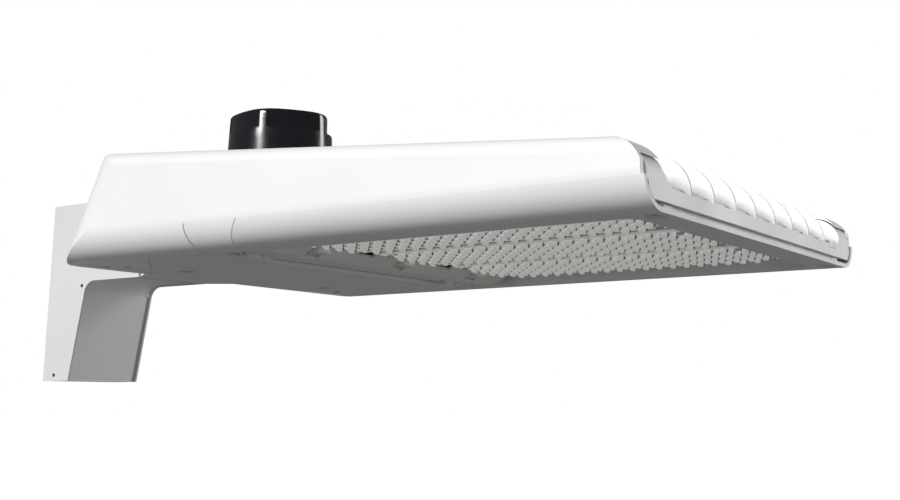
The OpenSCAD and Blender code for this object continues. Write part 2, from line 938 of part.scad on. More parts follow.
// Front rim: the fascia under the fins and a thick rim up each side
module front_bezel() {
    inset = wall_t + 2 * fit;
    cham_x = 5;
    cham_y = 3;
    outer = half_w - inset;
    back = front_x - bezel_depth + fit;
    face = front_x - bezel_set;
    color("white")
        head()
            difference() {
                intersection() {
                    translate([inset - bezel_set, 0, 0]) head_form(inset);
                    translate([0, 0, fascia_z0]) linear_extrude(deep)
                        polygon([[back, -outer], [face - cham_x, -outer],
                                 [face, -outer + cham_y], [face, outer - cham_y],
                                 [face - cham_x, outer], [back, outer]]);
                }
                // between the side rims, with a rounded corner at the foot of each
                along_x(0, front_x + over)
                    rounded([[-box_y, fascia_z1], [box_y, fascia_z1], [box_y, deep], [-box_y, deep]],
                            [rim_corner_r, rim_corner_r, 0, 0]);
                mid_box(0, front_x - fascia_t, box_y + fit, 0, deep);
                bezel_screw_spots() rod_x(small_r, 0, front_x - 6);
            }
}

module bezel_screws() {
    color("silver")
        head()
            bezel_screw_spots() rod_x(small_r, front_x - bezel_depth - 11, front_x - 8);
}

// ---------------------------------------------------------------- optical frame

module frame_screw_spots() {
    both_sides() translate([pocket_x, pocket_y, 0]) children();
}

module pocket_plan(d) {
    rounded_rect(-pocket_r - d, -pocket_half - d, pocket_r + d, pocket_half + d, pocket_r + d - 0.1);
}

module optical_frame() {
    lip_h = skin_t;
    color("gainsboro")
        head()
            difference() {
                union() {
                    difference() {
                        intersection() {
                            head_form(0);
                            mid_box(0, front_x + over, half_w + over, -over, seam_z);
                            ahead_of(frame_x, frame_slit, 0);
                        }
                        along_x(0, front_x + over)
                            rounded([[-half_w + skin_t, lip_h], [half_w - skin_t, lip_h],
                                     [half_w - skin_t, deep], [-half_w + skin_t, deep]],
                                    [bottom_r - skin_t, bottom_r - skin_t, 0, 0]);
                    }
                    // rim that stands up round the opening
                    translate([0, 0, lip_h - over]) linear_extrude(frame_rim_z - lip_h + over)
                        rounded_rect(recess_x0 - frame_rim_t, -recess_half_w - frame_rim_t,
                                     recess_x1 + frame_rim_t, recess_half_w + frame_rim_t,
                                     recess_r + frame_rim_t);
                    frame_screw_spots()
                        linear_extrude(pocket_h) pocket_plan(2);
                    // low wall at the back of the groove under the fascia
                    mid_box(front_x - 9, front_x - 4, box_y, lip_h - fit, fascia_z0 - fit);
                }
                translate([0, 0, -over]) linear_extrude(deep)
                    rounded_rect(recess_x0, -recess_half_w, recess_x1, recess_half_w, recess_r);
                frame_screw_spots() {
                    translate([0, 0, -over]) cylinder(r = screw_r + fit, h = 30);
                    translate([0, 0, -over]) linear_extrude(over + pocket_depth) pocket_plan(0);
                }
            }
}

module optical_gasket() {
    color("dimgray")
        head()
            gasket_ring(recess_x0 - frame_rim_t, recess_x1 + frame_rim_t,
                        recess_half_w + frame_rim_t, frame_rim_t + 1, frame_rim_z, sink_z,
                        recess_r + frame_rim_t);
}

module frame_screws() {
    color("silver")
        head()
            frame_screw_spots() {
                translate([0, 0, pocket_depth - screw_head_h]) cylinder(r = screw_head_r, h = screw_head_h);
                translate([0, 0, pocket_depth]) cylinder(r = screw_r, h = sink_z + 2 - pocket_depth);
            }
}

// ---------------------------------------------------------------- lamp boards and lenses

module dome_spots() {
    for (i = [0:dome_nx - 1], j = [0:dome_ny - 1])
        if (!((i == 0 || i == dome_nx - 1) && (j == 0 || j == dome_ny - 1)))
            translate([module_x0 + (i + 0.5) * dome_px, (j + 0.5 - dome_ny / 2) * dome_py, 0])
                children();
}

module corner_spots() {
    for (i = [0, dome_nx - 1], j = [0, dome_ny - 1])
        translate([module_x0 + (i + 0.5) * dome_px, (j + 0.5 - dome_ny / 2) * dome_py, 0])
            children();
}

module led_board(i) {
    color("white")
        head()
            translate([0, module_y(i), 0])
                difference() {
                    union() {
                        box(module_x0, module_x0 + field_x, -field_y / 2, field_y / 2, board_z, pad_z);
                        dome_spots()
                            box(-chip / 2, chip / 2, -chip / 2, chip / 2, board_z - 0.6, board_z + 0.2);
                    }
                    corner_spots() cylinder(r = small_r, h = 30);
                }
}

module led_board_near() { led_board(0); }
module led_board_middle() { led_board(floor(module_n / 2)); }
module led_board_far() { led_board(module_n - 1); }

// Clear plate with a lens dome under each lamp chip
module lens_plate(i) {
    color("lightcyan")
        head()
            translate([0, module_y(i), 0])
                difference() {
                    union() {
                        box(module_x0, module_x0 + field_x, -field_y / 2, field_y / 2, lens_z, board_z);
                        dome_spots()
                            intersection() {
                                translate([0, 0, lens_z - dome_h + dome_r]) sphere(r = dome_r, $fn = 48);
                                translate([0, 0, lens_z - dome_h - over])
                                    cylinder(r = dome_r + over, h = dome_h + over + 0.4);
                            }
                    }
                    box(module_x0 + rebate_edge, module_x0 + field_x - rebate_edge,
                        -field_y / 2 + rebate_edge, field_y / 2 - rebate_edge,
                        board_z - rebate_h, board_z + over);
                    corner_spots() cylinder(r = small_r, h = 30);
                }
}

module lens_plate_near() { lens_plate(0); }
module lens_plate_middle() { lens_plate(floor(module_n / 2)); }
module lens_plate_far() { lens_plate(module_n - 1); }

module lens_screws() {
    color("silver")
        head()
            for (i = [0:module_n - 1])
                translate([0, module_y(i), 0])
                    corner_spots() {
                        translate([0, 0, lens_z - 1.4]) cylinder(r = 2.6, h = 1.4);
                        translate([0, 0, lens_z]) cylinder(r = small_r, h = pad_z - lens_z);
                    }
}

module plug_spots() {
    for (i = [0:module_n - 1])
        translate([module_x0 - plug_len / 2 - 1.5, module_y(i), 0]) children();
}

// Two-wire plug at the wall end of each board
module board_plugs() {
    half = plug_len / 2;
    color("dimgray")
        head()
            plug_spots() {
                box(-half, half, -plug_w / 2, plug_w / 2, plug_z, sink_z);
                for (y = [-2.5, 2.5])
                    box(-half - 1, -half, y - 1.2, y + 1.2, plug_z + 1, plug_z + 4);
            }
}

// Bent sheet that slopes from the frame's back band up to the boards
module wire_cover() {
    x0 = recess_x0 + 0.8;
    x1 = module_x0 - 1;
    t = 1.2;
    color("gainsboro")
        head()
            difference() {
                along_y(2 * (recess_half_w - recess_r + 3))
                    polygon([[x0, cover_z0], [x0 + t, cover_z0], [x1, lens_z + t], [x1, sink_z],
                             [x1 - t, sink_z], [x1 - t, lens_z + 2 * t], [x0, cover_z0 + 1.8 * t]]);
                // room for the plugs and for the gaps between the modules
                plug_spots()
                    box(-plug_len / 2 - 2, plug_len, -plug_w / 2 - 1, plug_w / 2 + 1, -over, deep);
                for (i = [1:module_n - 1])
                    box(x1 - 6, deep * 2, module_y(i) - module_pitch / 2 - 10,
                        module_y(i) - module_pitch / 2 + 10, -over, deep);
            }
}

// ---------------------------------------------------------------- control gear

module gear_tray() {
    color("silver")
        head()
            difference() {
                box(tray_x0, tray_x1, tray_y0, tray_y1, tray_z, tray_z + tray_t);
                tray_post_spots() translate([0, 0, tray_z - over]) cylinder(r = screw_r, h = 5);
            }
}

module tray_screws() {
    color("silver")
        head()
            tray_post_spots() {
                translate([0, 0, tray_z - 1.8]) cylinder(r = screw_head_r, h = 1.8);
                translate([0, 0, tray_z]) cylinder(r = screw_r - 0.4, h = 8);
            }
}

module driver() {
    x0 = tray_x0 + 6;
    y0 = (tray_y0 + tray_y1 - driver_size.y) / 2;
    color("whitesmoke")
        head()
            union() {
                box(x0, x0 + driver_size.x, y0, y0 + driver_size.y, tray_z - driver_size.z, tray_z);
                for (y = [y0 - 6, y0 + driver_size.y])
                    box(x0 + 20, x0 + driver_size.x - 20, y, y + 6, tray_z - 2, tray_z);
            }
}

module surge_protector() {
    x1 = tray_x1 - 2;
    color("dimgray")
        head()
            box(x1 - surge_size.x + 8, x1, tray_y1 - surge_size.y - 18, tray_y1 - 18,
                tray_z - surge_size.z, tray_z);
}

module terminal_block() {
    x1 = tray_x1 - 4;
    y0 = tray_y0 + 18;
    color("beige")
        head()
            difference() {
                box(x1 - block_size.x, x1, y0, y0 + block_size.y - 8, tray_z - block_size.z, tray_z);
                for (i = [0:2])
                    translate([0, y0 + 8 + i * 12, tray_z - block_size.z / 2])
                        rod_x(3, x1 - block_size.x - over, x1 - block_size.x + 9);
            }
}

// ---------------------------------------------------------------- light sensor

module at_sensor() {
    head() translate([sensor_x, sensor_y, 0]) children();
}

module receptacle_gasket() {
    color("dimgray")
        at_sensor()
            translate([0, 0, boss_z])
                difference() {
                    cylinder(r = recept_r - 1, h = recept_gasket_t - 0.3);
                    translate([0, 0, -over]) cylinder(r = stem_r + 1, h = 5);
                }
}

// Where the three blades stand, with the arc that they sweep
module blade_slots(sweep, grow, z0, z1) {
    for (i = [0:2])
        rotate(i * 120 - grow)
            translate([0, 0, z0])
                rotate_extrude(angle = sweep + 2 * grow)
                    translate([blade_ring_r - blade_t / 2 - (grow > 0 ? 0.4 : 0), 0])
                        square([blade_t + (grow > 0 ? 0.8 : 0), z1 - z0]);
}

blade_arc = 24;

module receptacle() {
    color("dimgray")
        at_sensor()
            difference() {
                union() {
                    translate([0, 0, recept_z]) cylinder(r = recept_r, h = recept_h);
                    translate([0, 0, recept_z - stem_len]) cylinder(r = stem_r, h = stem_len);
                }
                blade_slots(blade_arc + sensor_twist, 3, recept_z + recept_h - blade_len - 1,
                            recept_z + recept_h + over);
            }
}

module receptacle_nut() {
    nut_h = 5;
    color("silver")
        at_sensor()
            translate([0, 0, boss_z - boss_h - 0.3 - nut_h])
                difference() {
                    cylinder(r = stem_r + 6, h = nut_h, $fn = 6);
                    translate([0, 0, -over]) cylinder(r = stem_r, h = nut_h + 2 * over);
                }
}

module sensor_base() {
    color("dimgray")
        at_sensor()
            union() {
                translate([0, 0, sensor_base_z]) cylinder(r = base_r, h = sensor_base_t);
                blade_slots(blade_arc, 0, sensor_base_z - blade_len, sensor_base_z + over);
            }
}

// Side view of the cap: a taper with a rounded top edge
module cap_outline() {
    r0 = sensor_d / 2;
    r1 = sensor_top_d / 2;
    rounded([[0, 0], [r0, 0], [r1, sensor_h], [0, sensor_h]], [0, 0, 5, 0]);
}

module sensor_cap() {
    seat_r = base_r + fit;
    base_top = sensor_base_z + sensor_base_t;
    color("#202224")
        at_sensor()
            difference() {
                translate([0, 0, cap_z]) rotate_extrude() cap_outline();
                for (i = [0:flat_n - 1])
                    rotate(i * 360 / flat_n + flat_turn)
                        box(flat_x, sensor_d, -sensor_d / 2, sensor_d / 2, flat_z, deep);
                // seat of the base, a hollow above it, and a narrower one between the flats
                translate([0, 0, cap_z - over]) cylinder(r = seat_r, h = base_top - cap_z + over);
                translate([0, 0, cap_z]) cylinder(r = seat_r - 1.5, h = flat_z - cap_z - cap_wall);
                translate([0, 0, cap_z]) cylinder(r = flat_x - cap_wall, h = sensor_h - cap_wall);
                // place of the window
                translate([0, 0, window_z]) rotate([0, 0, 90])
                    box(0, deep, -window_half_w, window_half_w, -window_half_h, window_half_h);
            }
}

module sensor_window() {
    half_w = window_half_w - fit;
    half_h = window_half_h - fit;
    color("lightblue")
        at_sensor()
            translate([0, 0, window_z]) rotate([0, 0, 90])
                intersection() {
                    box(base_r - 1, deep, -half_w, half_w, -half_h, half_h);
                    translate([0, 0, -half_h - over])
                        cylinder(r = sensor_d / 2 - 1.5, h = 2 * half_h + 2 * over);
                }
}

// ---------------------------------------------------------------- the whole light

wall_plate();
bracket_shell();
bracket_cover();
cover_screws();
arm_plate();
arm_bolts();
neck_gasket();
wire_bushing();
housing();
hinge_bridge();
bridge_screws();
hinge_pins();
driver_door();
door_gasket();
corner_screws();
door_latch_near();
door_latch_far();
heat_sink();
sink_screws();
front_bezel();
bezel_screws();
optical_frame();
optical_gasket();
frame_screws();
led_board_near();
led_board_middle();
led_board_far();
lens_plate_near();
lens_plate_middle();
lens_plate_far();
lens_screws();
board_plugs();
wire_cover();
gear_tray();
tray_screws();
driver();
surge_protector();
terminal_block();
receptacle_gasket();
receptacle();
receptacle_nut();
sensor_base();
sensor_cap();
sensor_window();
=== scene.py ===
# %% [markdown]
# # Shoebox area light
# The light hangs on a wall bracket and shines down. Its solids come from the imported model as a
# fixed frame. This file gives them their finishes, models the small pieces again with more
# detail, and sets up the camera and the studio. All sizes are in metres, so a millimetre is 0.001.

# %% Load the frame
import math
import bmesh
import bpy
from mathutils import Matrix, Vector


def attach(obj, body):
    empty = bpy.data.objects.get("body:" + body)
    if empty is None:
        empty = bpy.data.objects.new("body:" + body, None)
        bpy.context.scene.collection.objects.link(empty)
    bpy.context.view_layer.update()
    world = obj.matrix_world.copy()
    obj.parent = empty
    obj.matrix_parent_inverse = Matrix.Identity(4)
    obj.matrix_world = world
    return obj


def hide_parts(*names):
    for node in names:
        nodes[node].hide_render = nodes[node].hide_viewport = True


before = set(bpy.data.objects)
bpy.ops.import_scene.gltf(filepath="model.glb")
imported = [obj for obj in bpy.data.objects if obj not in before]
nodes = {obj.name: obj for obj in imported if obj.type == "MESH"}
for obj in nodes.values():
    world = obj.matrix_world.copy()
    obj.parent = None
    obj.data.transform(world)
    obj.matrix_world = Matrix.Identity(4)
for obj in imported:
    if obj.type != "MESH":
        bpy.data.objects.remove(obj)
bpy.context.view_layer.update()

MM = 0.001
scene = bpy.context.scene
print("solids in the frame:", len(nodes))

# %% [markdown]
# ## Camera
# The photo was taken from below and in front of the near side. Solved from its straight edges,
# the lens is about 50 mm and looks up by 13 degrees. A vertical shift moves the light up in the
# picture, as a product photographer does to keep upright edges from leaning too much.

# %% Camera
view_turn = math.radians(33.56)
view_rise = math.radians(13.24)
eye = Vector((0.9288, -0.7814, -0.0975))

lens = bpy.data.cameras.new("studio_camera")
lens.lens = 49.46
lens.sensor_width = 36.0
lens.shift_y = -0.1534
lens.clip_end = 200.0
camera = bpy.data.objects.new("studio_camera", lens)
camera.location = eye
camera.rotation_euler = (math.pi / 2 + view_rise, 0.0, view_turn)
scene.collection.objects.link(camera)
scene.camera = camera
print("camera distance to the middle of the light:", round((eye - Vector((0.33, 0, 0))).length, 3))

# %% [markdown]
# ## Floor
# A plain pale floor, far enough below the light not to show its edge. It could be a plane with a
# curved sweep behind it, but the camera looks up and sees only the far floor, so a large disc does.
# It sends no light back up, because the underside in the photo is evenly dark.

# %% Floor
def node_material(name):
    made = bpy.data.materials.new(name)
    made.use_nodes = True
    tree = made.node_tree
    shader = tree.nodes["Principled BSDF"]
    return made, tree, shader


floor_finish, tree, shader = node_material("studio_floor")
speckle = tree.nodes.new("ShaderNodeTexNoise")
speckle.inputs["Scale"].default_value = 3.0
tint = tree.nodes.new("ShaderNodeMix")
tint.data_type = "RGBA"
tint.inputs[6].default_value = (0.93, 0.93, 0.93, 1)
tint.inputs[7].default_value = (0.96, 0.96, 0.96, 1)
place = tree.nodes.new("ShaderNodeTexCoord")
tree.links.new(place.outputs["Object"], speckle.inputs["Vector"])
tree.links.new(speckle.outputs["Fac"], tint.inputs[0])
tree.links.new(tint.outputs[2], shader.inputs["Base Color"])
shader.inputs["Roughness"].default_value = 0.8
shader.inputs["Specular IOR Level"].default_value = 0.1
shader.inputs["Emission Color"].default_value = (1, 1, 1, 1)
shader.inputs["Emission Strength"].default_value = 0.55

bm = bmesh.new()
bmesh.ops.create_circle(bm, cap_ends=True, radius=60.0, segments=96,
                        matrix=Matrix.Translation((0, 0, -1.2)))
mesh = bpy.data.meshes.new("floor")
bm.to_mesh(mesh)
bm.free()
floor = bpy.data.objects.new("floor", mesh)
mesh.materials.append(floor_finish)
scene.collection.objects.link(floor)
floor.visible_diffuse = False
floor.visible_glossy = False
floor.visible_transmission = False
print("floor faces:", len(mesh.polygons))

# %% [markdown]
# ## Light
# The near side of the light is almost white, so the main light comes from that side and from
# above. A weaker one comes from the front and a little below: it grazes the underside, so the
# flat skin stays grey while every lens dome catches it. A very soft third one from far below
# stands for the light that a bright studio floor sends back up. A tall panel behind the far front
# corner gives the black sensor its long reflection. The background is white for the camera
# and dim for everything else.

# %% Lights and background
def sun(name, towards, strength, softness, colour=(1, 1, 1)):
    light = bpy.data.lights.new(name, "SUN")
    light.energy = strength
    light.angle = math.radians(softness)
    light.color = colour
    made = bpy.data.objects.new(name, light)
    made.rotation_euler = Vector(towards).to_track_quat("-Z", "Y").to_euler()
    scene.collection.objects.link(made)
    return made


def panel(name, at, aim, width, height, power, colour=(1, 1, 1)):
    light = bpy.data.lights.new(name, "AREA")
    light.shape = "RECTANGLE"
    light.size = width
    light.size_y = height
    light.energy = power
    light.color = colour
    made = bpy.data.objects.new(name, light)
    made.location = at
    made.rotation_euler = (Vector(aim) - Vector(at)).to_track_quat("-Z", "Y").to_euler()
    scene.collection.objects.link(made)
    return made


sun("key_light", (0.10, 0.88, -0.42), 3.45, 16)
sun("graze_light", (-0.97, 0.16, 0.12), 2.3, 12)
sun("low_light", (-0.35, 0.35, 0.87), 0.16, 60)
panel("tall_panel", (2.3, 3.0, 0.9), (0.26, -0.03, 0.10), 0.7, 2.6, 60, (0.98, 0.99, 1.0))

world = bpy.data.worlds.new("studio")
scene.world = world
world.use_nodes = True
sky = world.node_tree
background = sky.nodes["Background"]
ray = sky.nodes.new("ShaderNodeLightPath")
shade = sky.nodes.new("ShaderNodeMix")
shade.data_type = "RGBA"
shade.inputs[6].default_value = (0.155, 0.155, 0.156, 1)
shade.inputs[7].default_value = (1.0, 1.0, 1.0, 1)
sky.links.new(ray.outputs["Is Camera Ray"], shade.inputs[0])
sky.links.new(shade.outputs[2], background.inputs["Color"])
scene.view_settings.view_transform = "Standard"

# %% [markdown]
# ## Effects that several finishes share
# Powder coat is never quite smooth: it dries with a fine orange peel. Dust settles on faces that
# look up, and drawn or rolled metal has fine lines in one direction. Each effect is a node group
# that reads the object's own coordinates, built once and used with other numbers in each finish.

# %% Effect groups
def new_group(name, takes, gives):
    group = bpy.data.node_groups.new(name, "ShaderNodeTree")
    for label, value in takes:
        made = group.interface.new_socket(label, in_out="INPUT", socket_type="NodeSocketFloat")
        made.default_value = value
    for label in gives:
        group.interface.new_socket(label, in_out="OUTPUT", socket_type="NodeSocketFloat")
    entry = group.nodes.new("NodeGroupInput")
    leave = group.nodes.new("NodeGroupOutput")
    return group, entry, leave


def orange_peel_group():
    group, entry, leave = new_group("orange_peel", [("Scale", 900.0), ("Cloud", 14.0)],
                                    ["Height", "Tone"])
    place = group.nodes.new("ShaderNodeTexCoord")
    peel = group.nodes.new("ShaderNodeTexNoise")
    peel.inputs["Detail"].default_value = 2.0
    cloud = group.nodes.new("ShaderNodeTexNoise")
    cloud.inputs["Detail"].default_value = 4.0
    for source, texture in (("Scale", peel), ("Cloud", cloud)):
        group.links.new(place.outputs["Object"], texture.inputs["Vector"])
        group.links.new(entry.outputs[source], texture.inputs["Scale"])
    group.links.new(peel.outputs["Fac"], leave.inputs["Height"])
    group.links.new(cloud.outputs["Fac"], leave.inputs["Tone"])
    return group


def settled_dust_group():
    group, entry, leave = new_group("settled_dust", [("Amount", 0.3), ("Scale", 60.0)], ["Mask"])
    facing = group.nodes.new("ShaderNodeNewGeometry")
    parts = group.nodes.new("ShaderNodeSeparateXYZ")
    upward = group.nodes.new("ShaderNodeMapRange")
    upward.inputs["From Min"].default_value = 0.35
    upward.inputs["From Max"].default_value = 1.0
    place = group.nodes.new("ShaderNodeTexCoord")
    specks = group.nodes.new("ShaderNodeTexNoise")
    specks.inputs["Detail"].default_value = 6.0
    both = group.nodes.new("ShaderNodeMath")
    both.operation = "MULTIPLY"
    scaled = group.nodes.new("ShaderNodeMath")
    scaled.operation = "MULTIPLY"
    group.links.new(facing.outputs["Normal"], parts.inputs["Vector"])
    group.links.new(parts.outputs["Z"], upward.inputs["Value"])
    group.links.new(place.outputs["Object"], specks.inputs["Vector"])
    group.links.new(entry.outputs["Scale"], specks.inputs["Scale"])
    group.links.new(upward.outputs["Result"], both.inputs[0])
    group.links.new(specks.outputs["Fac"], both.inputs[1])
    group.links.new(both.outputs["Value"], scaled.inputs[0])
    group.links.new(entry.outputs["Amount"], scaled.inputs[1])
    group.links.new(scaled.outputs["Value"], leave.inputs["Mask"])
    return group


def rolled_lines_group():
    group, entry, leave = new_group("rolled_lines", [("Fine", 40.0), ("Stretch", 30.0)],
                                    ["Height", "Tone"])
    place = group.nodes.new("ShaderNodeTexCoord")
    parts = group.nodes.new("ShaderNodeSeparateXYZ")
    longer = group.nodes.new("ShaderNodeMath")
    longer.operation = "MULTIPLY"
    whole = group.nodes.new("ShaderNodeCombineXYZ")
    lines = group.nodes.new("ShaderNodeTexNoise")
    lines.inputs["Detail"].default_value = 3.0
    group.links.new(place.outputs["Object"], parts.inputs["Vector"])
    group.links.new(parts.outputs["X"], longer.inputs[0])
    group.links.new(entry.outputs["Stretch"], longer.inputs[1])
    group.links.new(longer.outputs["Value"], whole.inputs["X"])
    group.links.new(parts.outputs["Y"], whole.inputs["Y"])
    group.links.new(parts.outputs["Z"], whole.inputs["Z"])
    group.links.new(whole.outputs["Vector"], lines.inputs["Vector"])
    group.links.new(entry.outputs["Fine"], lines.inputs["Scale"])
    group.links.new(lines.outputs["Fac"], leave.inputs["Height"])
    group.links.new(lines.outputs["Fac"], leave.inputs["Tone"])
    return group


PEEL = orange_peel_group()
DUST = settled_dust_group()
LINES = rolled_lines_group()
print("groups:", [g.name for g in (PEEL, DUST, LINES)])

# %% [markdown]
# ## Finishes
# Every finish starts from the Principled shader. A noise moves its colour and its roughness a
# little, and a bump gives the small relief. The helpers below wire that in one place, so each
# finish is one call with its own numbers.

# %% Finish helpers
def use_group(tree, group, **values):
    made = tree.nodes.new("ShaderNodeGroup")
    made.node_tree = group
    for label, value in values.items():
        made.inputs[label].default_value = value
    return made


def blend_colours(tree, mask, low, high):
    made = tree.nodes.new("ShaderNodeMix")
    made.data_type = "RGBA"
    made.inputs[6].default_value = (*low, 1)
    made.inputs[7].default_value = (*high, 1)
    tree.links.new(mask, made.inputs[0])
    return made.outputs[2]


def spread(tree, value, low, high):
    made = tree.nodes.new("ShaderNodeMapRange")
    made.inputs["From Min"].default_value = 0.3
    made.inputs["From Max"].default_value = 0.7
    made.inputs["To Min"].default_value = low
    made.inputs["To Max"].default_value = high
    tree.links.new(value, made.inputs["Value"])
    return made.outputs["Result"]


def add_bump(tree, shader, height, depth):
    made = tree.nodes.new("ShaderNodeBump")
    made.inputs["Strength"].default_value = 1.0
    made.inputs["Distance"].default_value = depth
    tree.links.new(height, made.inputs["Height"])
    tree.links.new(made.outputs["Normal"], shader.inputs["Normal"])


def coated(name, low, high, rough, peel=900.0, depth=0.00002, dust=0.25, cloud=14.0):
    """Paint, powder coat, rubber or moulded plastic."""
    made, tree, shader = node_material(name)
    grain = use_group(tree, PEEL, Scale=peel, Cloud=cloud)
    settled = use_group(tree, DUST, Amount=dust, Scale=70.0)
    plain = blend_colours(tree, grain.outputs["Tone"], low, high)
    dusty = tree.nodes.new("ShaderNodeMix")
    dusty.data_type = "RGBA"
    dusty.inputs[7].default_value = (0.50, 0.48, 0.44, 1)
    tree.links.new(plain, dusty.inputs[6])
    tree.links.new(settled.outputs["Mask"], dusty.inputs[0])
    tree.links.new(dusty.outputs[2], shader.inputs["Base Color"])
    tree.links.new(spread(tree, grain.outputs["Tone"], rough - 0.04, rough + 0.06),
                   shader.inputs["Roughness"])
    add_bump(tree, shader, grain.outputs["Height"], depth)
    return made


def drawn_metal(name, low, high, rough, fine=40.0, stretch=30.0, depth=0.00001):
    """Bare or plated metal with fine lines."""
    made, tree, shader = node_material(name)
    grain = use_group(tree, LINES, Fine=fine, Stretch=stretch)
    tree.links.new(blend_colours(tree, grain.outputs["Tone"], low, high),
                   shader.inputs["Base Color"])
    tree.links.new(spread(tree, grain.outputs["Tone"], rough - 0.06, rough + 0.08),
                   shader.inputs["Roughness"])
    shader.inputs["Metallic"].default_value = 1.0
    add_bump(tree, shader, grain.outputs["Height"], depth)
    return made


# %% Paint, metal, rubber and plastic
white_coat = coated("white_powder_coat", (0.80, 0.80, 0.80), (0.83, 0.83, 0.83), 0.42, dust=0.05)
skin_coat = coated("underside_powder_coat", (0.77, 0.77, 0.77), (0.81, 0.81, 0.81), 0.46, dust=0.05)
# The wall plate and the bracket's sides get a darker white than the head.
darker_shell_white = coated("bracket_side_darker_white", (0.62, 0.62, 0.62), (0.66, 0.66, 0.66), 0.46,
                    dust=0.08)
sheet_coat = coated("bracket_powder_coat", (0.78, 0.78, 0.78), (0.82, 0.82, 0.82), 0.44, dust=0.10)
fin_coat = coated("heat_sink_powder_coat", (0.78, 0.78, 0.78), (0.82, 0.82, 0.82), 0.50,
                  peel=1400.0, depth=0.00003, dust=0.18)
zinc = drawn_metal("zinc_plate", (0.52, 0.52, 0.50), (0.70, 0.70, 0.68), 0.34, fine=180.0,
                   stretch=1.0)
steel = drawn_metal("stainless_steel", (0.50, 0.50, 0.50), (0.66, 0.66, 0.66), 0.28, fine=260.0,
                    stretch=6.0)
tray_sheet = drawn_metal("galvanised_sheet", (0.48, 0.50, 0.51), (0.72, 0.73, 0.74), 0.38,
                         fine=55.0,
                         stretch=1.0)
case_alloy = drawn_metal("driver_case_alloy", (0.60, 0.61, 0.62), (0.74, 0.75, 0.76), 0.36,
                         fine=60.0,
                         stretch=14.0)
rubber = coated("seal_rubber", (0.035, 0.035, 0.037), (0.060, 0.060, 0.062), 0.72, peel=2200.0,
                depth=0.00003, dust=0.10)
black_moulding = coated("black_moulding", (0.030, 0.030, 0.032), (0.045, 0.045, 0.047), 0.48,
                        peel=1800.0, dust=0.05)
pale_moulding = coated("pale_nylon", (0.66, 0.66, 0.62), (0.76, 0.76, 0.72), 0.40, peel=1600.0,
                       dust=0.0)
grey_moulding = coated("grey_moulding", (0.22, 0.23, 0.25), (0.28, 0.29, 0.31), 0.45, peel=1500.0)
print("finishes so far:", len(bpy.data.materials))

# %% [markdown]
# ## Sensor plastic, lenses and lamp boards
# The light sensor's cap is glossy black plastic. The lenses are clear acrylic over a white board:
# light that enters comes back out milky, so the finish lets through only part of the light and
# glows a little, in place of the thousands of reflections between lens and board.
# The board is white solder mask, with a square yellow lamp chip under each lens. Both patterns
# repeat with the lens grid, so one group works out the place within a cell.

# %% Lens grid group
dome_pitch_x = 11.6 * MM
dome_pitch_y = 14.2 * MM
module_pitch = 103.5 * MM
module_start = 374.95 * MM
field_half = 3 * dome_pitch_y


def calc(tree, kind, a, b=None, c=None):
    made = tree.nodes.new("ShaderNodeMath")
    made.operation = kind
    for i, value in enumerate((a, b, c)):
        if value is None:
            continue
        if isinstance(value, (int, float)):
            made.inputs[i].default_value = value
        else:
            tree.links.new(value, made.inputs[i])
    return made.outputs[0]


def lens_cell_group():
    """Distance from the middle of the nearest lens, along and across the light, in metres."""
    group, entry, leave = new_group("lens_cell", [("Turn", 0.0)], ["Along", "Across"])
    place = group.nodes.new("ShaderNodeTexCoord")
    parts = group.nodes.new("ShaderNodeSeparateXYZ")
    group.links.new(place.outputs["Object"], parts.inputs["Vector"])
    x = calc(group, "SUBTRACT", parts.outputs["X"], module_start)
    x = calc(group, "DIVIDE", x, dome_pitch_x)
    column = calc(group, "SUBTRACT", calc(group, "FRACT", x), 0.5)
    along = calc(group, "MULTIPLY", column, dome_pitch_x)
    y = calc(group, "ADD", parts.outputs["Y"], 1.5 * module_pitch)
    y = calc(group, "DIVIDE", y, module_pitch)
    inside = calc(group, "SUBTRACT", calc(group, "FRACT", y), 0.5)
    inside = calc(group, "MULTIPLY", inside, module_pitch)
    row = calc(group, "DIVIDE", calc(group, "ADD", inside, field_half), dome_pitch_y)
    row = calc(group, "FRACT", row)
    across = calc(group, "MULTIPLY", calc(group, "SUBTRACT", row, 0.5), dome_pitch_y)
    turn_c = calc(group, "COSINE", entry.outputs["Turn"])
    turn_s = calc(group, "SINE", entry.outputs["Turn"])
    u = calc(group, "ADD", calc(group, "MULTIPLY", along, turn_c),
             calc(group, "MULTIPLY", across, turn_s))
    v = calc(group, "SUBTRACT", calc(group, "MULTIPLY", across, turn_c),
             calc(group, "MULTIPLY", along, turn_s))
    group.links.new(u, leave.inputs["Along"])
    group.links.new(v, leave.inputs["Across"])
    return group


CELL = lens_cell_group()
print("lens grid pitch:", dome_pitch_x, dome_pitch_y)


# %% Sensor, lens and board finishes
def spot(tree, cell, middle_u, middle_v, half_u, half_v, soft):
    """One inside an oval in the cell, none outside."""
    du = calc(tree, "DIVIDE", calc(tree, "SUBTRACT", cell.outputs["Along"], middle_u), half_u)
    dv = calc(tree, "DIVIDE", calc(tree, "SUBTRACT", cell.outputs["Across"], middle_v), half_v)
    squares = calc(tree, "ADD", calc(tree, "POWER", du, 2.0), calc(tree, "POWER", dv, 2.0))
    far = calc(tree, "SQRT", squares)
    made = tree.nodes.new("ShaderNodeMapRange")
    made.inputs["From Min"].default_value = 1.0 + soft
    made.inputs["From Max"].default_value = 1.0 - soft
    tree.links.new(far, made.inputs["Value"])
    return made.outputs["Result"]


